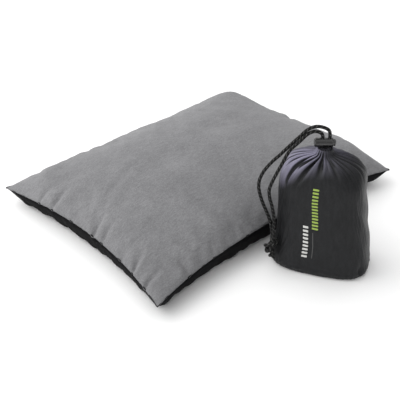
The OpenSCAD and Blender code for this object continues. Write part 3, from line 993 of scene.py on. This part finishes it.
def sackBase(angle, t):
    # the plain shape, in millimetres
    reach = np.clip(t, 0, 1) * sackTall
    z, wide, deep = (np.interp(reach, sackReach, sackCurve[:, k]) for k in range(3))
    square = np.clip((sack["mouthHeight"] - z) / (sack["mouthHeight"] - sack["squareBelow"]), 0, 1)
    cosine, sine = np.cos(angle), np.sin(angle)
    bent = 2 / sack["power"]
    x = wide * (square * np.sign(cosine) * np.abs(cosine) ** bent + (1 - square) * cosine)
    y = deep * (square * np.sign(sine) * np.abs(sine) ** bent + (1 - square) * sine)
    lean = np.interp(z, leanTable[:, 0], leanTable[:, 1])
    turn, slant = math.radians(sack["turn"]), math.radians(sack["leanAngle"])
    return np.stack([sack["centre"][0] + lean * math.cos(slant) + x * math.cos(turn) - y * math.sin(turn),
                     sack["centre"][1] + lean * math.sin(slant) + x * math.sin(turn) + y * math.cos(turn),
                     z], axis=-1)


def sackOutward(angle, t):
    step = 0.004
    around = sackBase(angle + step, t) - sackBase(angle - step, t)
    upward = sackBase(angle, np.minimum(t + step, 1)) - sackBase(angle, np.maximum(t - step, 0))
    return unitVectors(np.cross(around, upward))


# the deepest folds at the mouth: angle, reach, depth and width in mm
mainFolds = [
    (-9, 53, 1.8, 3.2), (-19, 39, 1.4, 2.8), (-29, 49, 1.7, 2.6), (-38, 37, 1.4, 2.2), (-48, 53, 1.9, 2.4),
    (-57, 33, 1.4, 2.2), (-66, 51, 2.3, 2.3), (-76, 33, 1.6, 2.2), (-85, 49, 2.6, 2.2), (-91, 38, 3.2, 2.4),
    (-97, 33, 2.0, 2.4), (-106, 72, 5.2, 3.3), (-119, 44, 3.6, 2.6), (-125, 56, 3.8, 3.0),
    (-140, 68, 4.8, 3.8), (-153, 47, 2.8, 3.6), (-168, 61, 3.2, 4.6), (176, 46, 2.6, 4.6),
    (161, 62, 3.2, 5.0), (147, 48, 2.6, 4.6), (132, 60, 3.2, 5.0), (117, 44, 2.6, 4.4), (104, 64, 3.2, 4.4),
    (91, 46, 2.4, 4.0), (78, 58, 3.0, 4.4), (63, 44, 2.4, 4.2), (49, 60, 3.0, 4.6), (34, 46, 2.4, 4.4),
    (18, 56, 2.8, 4.6), (2, 46, 2.4, 4.2)]
creases = {"seed": 8, "extra": 34}


def makeFolds():
    # the main folds and the small ones between them, each with a sideways drift
    random = np.random.default_rng(creases["seed"])
    folds = [(math.radians(at), reach, depth, width, random.uniform(-0.004, 0.004))
             for at, reach, depth, width in mainFolds]
    for k in range(creases["extra"]):
        angle = (k + random.uniform(-0.35, 0.35)) * 2 * math.pi / creases["extra"]
        folds.append((angle, random.uniform(12, 30), random.uniform(0.7, 1.6), random.uniform(1.6, 2.8),
                      random.uniform(-0.006, 0.006)))
    return folds


folds = makeFolds()
sackWaves = waves(41, 0.8, 2.2)
sackCrinkle = waves(43, 2.5, 6.0, 14)
hemWaves = waves(47, 2.2, 4.5, 12)
# depths in mm; the notch and the pinch are given by their place and spread
skin = {"sag": 0.6, "crinkle": 0.32, "hem": 0.6, "notch": 3.4, "notchAt": (-33, 11), "notchSpread": (5.5, 9),
        "pinch": 0.35, "pinchAt": 4.6, "pinchSpread": 1.3}


def foldDepth(angle, t):
    # valleys that spread from the mouth, narrow and shallow where they crowd together
    down = (1 - t) * sackTall
    reach = np.clip(t, 0, 1) * sackTall
    wide, deep = (np.interp(reach, sackReach, sackCurve[:, k]) for k in (1, 2))
    ring = np.sqrt(wide * deep)
    valley = np.zeros_like(ring + angle)
    for at, far, depth, width, drift in folds:
        off = (angle - at - drift * down + np.pi) % (2 * np.pi) - np.pi
        across = np.abs(off) * ring
        local = 0.72 * np.minimum(width, 0.085 * ring + 0.12)
        grow = np.minimum(1, (down + 2.5) / 20) * np.minimum(1, ring * 0.09)
        fade = np.clip(1 - (down / far) ** 2, 0, 1) ** 1.5
        shape = 1.1 * np.exp(-(across / local) ** 1.15) - 0.35 * np.exp(-((across / local - 2.1) / 0.9) ** 2)
        valley += depth * grow * fade * shape
    return valley


def sackSkin(angle, t, outward=0.0):
    # the sack's cloth: its plain shape with folds, sag and creases
    down = (1 - t) * sackTall
    base = sackBase(angle, t)
    z = base[..., 2]
    valley = foldDepth(angle, t)
    cosine, sine = np.cos(angle), np.sin(angle)
    sag = sackWaves(cosine * 1.2 + 3, z / 60 + sine) * skin["sag"]
    sag = sag * smoothStep((150 - z) / 40) * smoothStep(z / 25)
    creased = sackCrinkle(cosine * 2.6, z / 90 + sine * 2.6) * skin["crinkle"] * smoothStep(z / 20)
    creased = creased * smoothStep(down / 30)
    hem = hemWaves(cosine * 2.4, sine * 2.4 + z / 30) * skin["hem"] * np.exp(-((z - 7) / 7) ** 2)
    aside = (np.degrees(angle) - skin["notchAt"][0]) / skin["notchSpread"][0]
    notch = skin["notch"] * np.exp(-aside ** 2 - ((z - skin["notchAt"][1]) / skin["notchSpread"][1]) ** 2)
    pinch = skin["pinch"] * np.exp(-((z - skin["pinchAt"]) / skin["pinchSpread"]) ** 2)
    push = -valley + sag + creased + hem - pinch - notch + outward
    return (base + sackOutward(angle, t) * push[..., None]) * mm


def angleOf(s):
    # the angle round the sack, which the grid's first value gives
    return s * 2 * np.pi - np.pi


def turnApart(angle, place):
    # degrees between two places round the sack
    return np.abs((np.degrees(angle) - place + 180) % 360 - 180)


# where the light catches the gathers: the left and right shoulders, how far down, and how much
sheenOnGathers = {"left": (-152, 42), "right": (-20, 50), "reach": 40, "leftReach": 30, "power": 0.75,
           "share": 0.54, "leftShare": 0.78, "rightShare": 0.26, "mouthFade": 16, "foldShare": 0.56}


def shoulder(angle, place, spread):
    return np.exp(-(turnApart(angle, place) / spread) ** 2)


def makeSidePanel():
    start = rowAt(0.9)

    def rows(t):
        return start + (1 - start) * t

    def place(s, t):
        return sackSkin(angleOf(s), rows(t))

    def marks(s, t):
        angle, row = angleOf(s), rows(t)
        down = (1 - row) * sackTall
        # painted sheen: strongest on the left shoulder, weaker on the right, fading to half at the mouth as
        # painted shade under the lock; ridge is a painted highlight on fold ridges and painted shade in the
        # valleys
        left, right = shoulder(angle, *sheenOnGathers["left"]), shoulder(angle, *sheenOnGathers["right"])
        reach = sheenOnGathers["reach"] + sheenOnGathers["leftReach"] * left
        gatherSheen = np.clip(1 - down / reach, 0, 1) ** sheenOnGathers["power"]
        gatherSheen = gatherSheen * (sheenOnGathers["share"] + sheenOnGathers["leftShare"] * left - sheenOnGathers["rightShare"] * right)
        gatherSheen = gatherSheen * (0.5 + 0.5 * smoothStep(down / sheenOnGathers["mouthFade"]))
        return {"ridge": smoothStep(0.96 - foldDepth(angle, row) * sheenOnGathers["foldShare"]), "gatherSheen": gatherSheen}

    obj = gridPiece("sackSideCloth", sack["columns"], sack["rows"], place, marks)
    mergeDoubles(obj, 1e-6)
    thicken(obj, sack["cloth"] * mm)
    return obj


sidePanel = finishPiece(makeSidePanel(), "sack", "sack_nylon", "sack_side_panel")


def makeBasePanel():
    def place(s, t):
        angle = angleOf(s)
        rim = sackBase(angle, np.zeros_like(angle))
        middle = sackBase(angle, np.zeros_like(angle)).mean(axis=0)
        out = middle + (rim - middle) * (t * 0.992)[:, None]
        pucker = np.sin(angle * 37 + 2 * np.sin(angle * 3)) * 0.16 * np.clip((t - 0.86) / 0.14, 0, 1)
        out[:, 2] = 0.18 + pucker + 0.1 * sackWaves(out[:, 0] / 20, out[:, 1] / 20) * np.sin(np.pi * t)
        return out * mm

    obj = gridPiece("sackBaseCloth", 160, 24, place)
    mergeDoubles(obj, 1e-6, outward=False)
    if sum(face.normal.z * face.area for face in obj.data.polygons) > 0:
        flipFaces(obj)
    thicken(obj, 0.6 * mm)
    return obj


finishPiece(makeBasePanel(), "sack", "sack_nylon", "sack_base_panel", plainNylon)

packed = {"inset": 3.4, "low": 3.6, "high": 146.5, "capShare": 0.16}


def makePackedPillow():
    low, high, cap = rowAt(packed["low"]), rowAt(packed["high"]), packed["capShare"]

    def place(s, t):
        angle = angleOf(s)
        side = np.clip((t - cap) / (1 - 2 * cap), 0, 1)
        row = low + (high - low) * side
        points = sackSkin(angle, row, -packed["inset"])
        lump = sackCrinkle(np.cos(angle) * 3 + row * 4, np.sin(angle) * 3) * 0.0007
        points += sackOutward(angle, row) * (lump - 0.0008)[:, None]
        middle = points.copy()
        middle[:, :2] = sackBase(angle, row)[:, :2].mean(axis=0) * mm
        shrink = np.where(t < cap, t / cap, np.where(t > 1 - cap, (1 - t) / cap, 1))
        return middle + (points - middle) * shrink[:, None]

    obj = gridPiece("sackPackedPillow", 120, 80, place)
    mergeDoubles(obj, 1e-6)
    return obj


packedPillow = finishPiece(makePackedPillow(), "sack", "white_fibre", "sack_packed_filling")


def makeSeamTape():
    low, high = rowAt(8.5), rowAt(121)

    def place(s, t):
        angle = np.radians(84 + 12 * s)
        return sackSkin(angle, low + (high - low) * t, -1.15)

    obj = gridPiece("sackSeamTape", 12, 90, place)
    thicken(obj, 0.35 * mm, 0)
    return obj


finishPiece(makeSeamTape(), "sack", "black_tape", "sack_seam_tape")

# from and to angles, low and high edges, number of dashes, colour
bars = [(-99.9, -94.8, 27, 75, 9, (0.62, 0.62, 0.60)),
        (-92.1, -89.7, 70, 127, 13, (0.30, 0.42, 0.075)),
        (-91.8, -91.35, 27, 65, 1, (0.07, 0.07, 0.07))]
dashShare = 0.56


def makePrint():
    # plain dashes, one above another
    made = []
    for start, end, low, high, count, colour in bars:
        pitch = (high - low) / count
        for k in range(count):
            tall = pitch * (dashShare if count > 1 else 1)
            rowLow, rowHigh = rowAt(low + k * pitch), rowAt(low + k * pitch + tall)

            def place(s, t):
                # rounded corners come from drawing the end rows in
                near = np.clip(np.minimum(t, 1 - t) * tall / 0.7, 0, 1)
                tuck = 1 - 0.16 * (1 - np.sqrt(np.clip(1 - (1 - near) ** 2, 0, 1)))
                angle = np.radians((start + end) / 2 + (end - start) * (s - 0.5) * tuck)
                return sackSkin(angle, rowLow + (rowHigh - rowLow) * t, 0.14)

            bar = gridPiece("printedDash", 10, max(8, int(tall * 2.5)), place)
            thicken(bar, 0.08 * mm)
            layer = bar.data.attributes.new("inkColour", "FLOAT_COLOR", "POINT")
            layer.data.foreach_set("color", np.tile((*colour, 1.0), len(bar.data.vertices)))
            made.append(bar)
    return joinPieces("sackPrintedBars", made)


finishPiece(makePrint(), "sack", "printed_ink", "sack_print")

mouth = {"centre": (4.5, -201.7), "height": 157.2, "ring": 4.04, "radius": 3.15, "ruffles": 19}


def ruffles(angle):
    return np.sin(angle * mouth["ruffles"] + 1.6 * np.sin(angle * 3))


def makeChannel():
    # the hem at the mouth, drawn up tight round its cord
    def place(s, t):
        angle, turn = angleOf(s), t * 2 * np.pi
        ruffle = 0.42 * ruffles(angle) + 0.2 * np.sin(angle * 31 + 2)
        radius = mouth["radius"] + ruffle * (0.55 + 0.45 * np.cos(turn)) - 0.15 * np.cos(turn * 2)
        out = mouth["ring"] + radius * np.cos(turn)
        return np.stack([mouth["centre"][0] + out * np.cos(angle), mouth["centre"][1] + out * np.sin(angle),
                         mouth["height"] + radius * np.sin(turn)], axis=1) * mm

    def marks(s, t):
        # painted highlight on the ruffle crests and painted shade between them, under a low fixed share of
        # painted sheen
        return {"ridge": 0.5 + 0.4 * ruffles(angleOf(s)), "gatherSheen": np.full(len(s), 0.28)}

    obj = gridPiece("mouthChannel", 190, 32, place, marks)
    mergeDoubles(obj, 1e-6)
    return obj


finishPiece(makeChannel(), "sack", "sack_nylon", "cord_channel")

mouthStitch = {"count": 12, "away": 6.0, "below": 2.55, "length": 1.7, "radius": 0.26}


def makeChannelStitches():
    stitches = []
    for k in range(mouthStitch["count"]):
        angle = 2 * math.pi * k / mouthStitch["count"]
        away = np.array((math.cos(angle), math.sin(angle), 0))
        side = np.array((-math.sin(angle), math.cos(angle), 0))
        across = np.linspace(-0.5, 0.5, 7)
        line = [away * (mouthStitch["away"] + 0.35 * math.cos(a * math.pi)) + side * a * mouthStitch["length"]
                + np.array((0, 0, 0.2 * a - mouthStitch["below"])) for a in across]
        line = (np.array(line) + np.array((*mouth["centre"], mouth["height"]))) * mm
        stitches.append(roundTube("stitch", evenly(line, 0.25 * mm), mouthStitch["radius"] * mm, 8))
    return joinPieces("mouthStitches", stitches)


finishPiece(makeChannelStitches(), "sack", "black_thread", "channel_stitching")
print("sack made")

# ---- nodes that stay as they are ----
kept = {"sack_base_binding": "black_tape", "mouth_drawcord": "black_cord", "lock_barrel": "lock_plastic",
        "lock_spring": "spring_steel", "lock_button": "button_plastic"}
for name, slot in kept.items():
    mesh = nodes[name].data
    if not mesh.materials:
        mesh.materials.append(looks[slot])
    for k in range(len(mesh.materials)):
        mesh.materials[k] = looks[slot]
print("cord lock finished")

# ---- floor and light ----
studio = {"floor": (0.93, 0.93, 0.93), "floorSize": 12, "floorDrop": 0.3 * mm, "ambient": 0.58, "glow": 1.34,
          "toward": (-0.52, 0.68, 0.54),
          # place, size, power, colour
          "lamps": [((-0.85, 0.75, 1.15), 1.3, 8.0, (1.0, 0.995, 0.985)),
                    ((0.95, -0.1, 0.6), 0.5, 0.8, (0.98, 0.99, 1.0))]}


def makeFloor():
    clearSelection()
    bpy.ops.mesh.primitive_plane_add(size=studio["floorSize"], location=(0, 0, 0))
    floor = bpy.context.object
    floor.name = "studioFloor"
    look = Look("paleFloor", Roughness=0.9, Specular_IOR_Level=0.1)
    colour = look.blend(look.grain(1.5, 2.0), studio["floor"], [c * 0.99 for c in studio["floor"]])
    floor.data.materials.append(look.feed(Base_Color=colour))
    points = getPoints(floor.data)
    points[:, 2] = -studio["floorDrop"]
    setPoints(floor.data, points)


def makeLamps():
    for place, size, power, colour in studio["lamps"]:
        clearSelection()
        aim = Vector(place).to_track_quat("Z", "Y").to_euler()
        bpy.ops.object.light_add(type="AREA", location=place, rotation=aim)
        lamp = bpy.context.object.data
        lamp.energy, lamp.size, lamp.color = power, size, colour


def makeSky():
    # brighter overhead and from the back left, as from a large soft window
    world = bpy.data.worlds.new("studioWorld")
    bpy.context.scene.world = world
    world.use_nodes = True
    sky = Nodes(world.node_tree, "BACKGROUND")
    sky.ending.inputs["Color"].default_value = (1, 1, 1, 1)
    direction = sky.node("ShaderNodeTexCoord", output="Generated")
    facing = sky.node("ShaderNodeVectorMath", {"operation": "DOT_PRODUCT"},
                      {0: direction, 1: Vector(studio["toward"]).normalized()}, "Value")
    sky.link(Strength=facing.maths("MAXIMUM", facing, 0.0) * studio["glow"] + studio["ambient"])


makeFloor()
makeLamps()
makeSky()
bpy.context.scene.view_settings.view_transform = "Standard"
print("studio made")
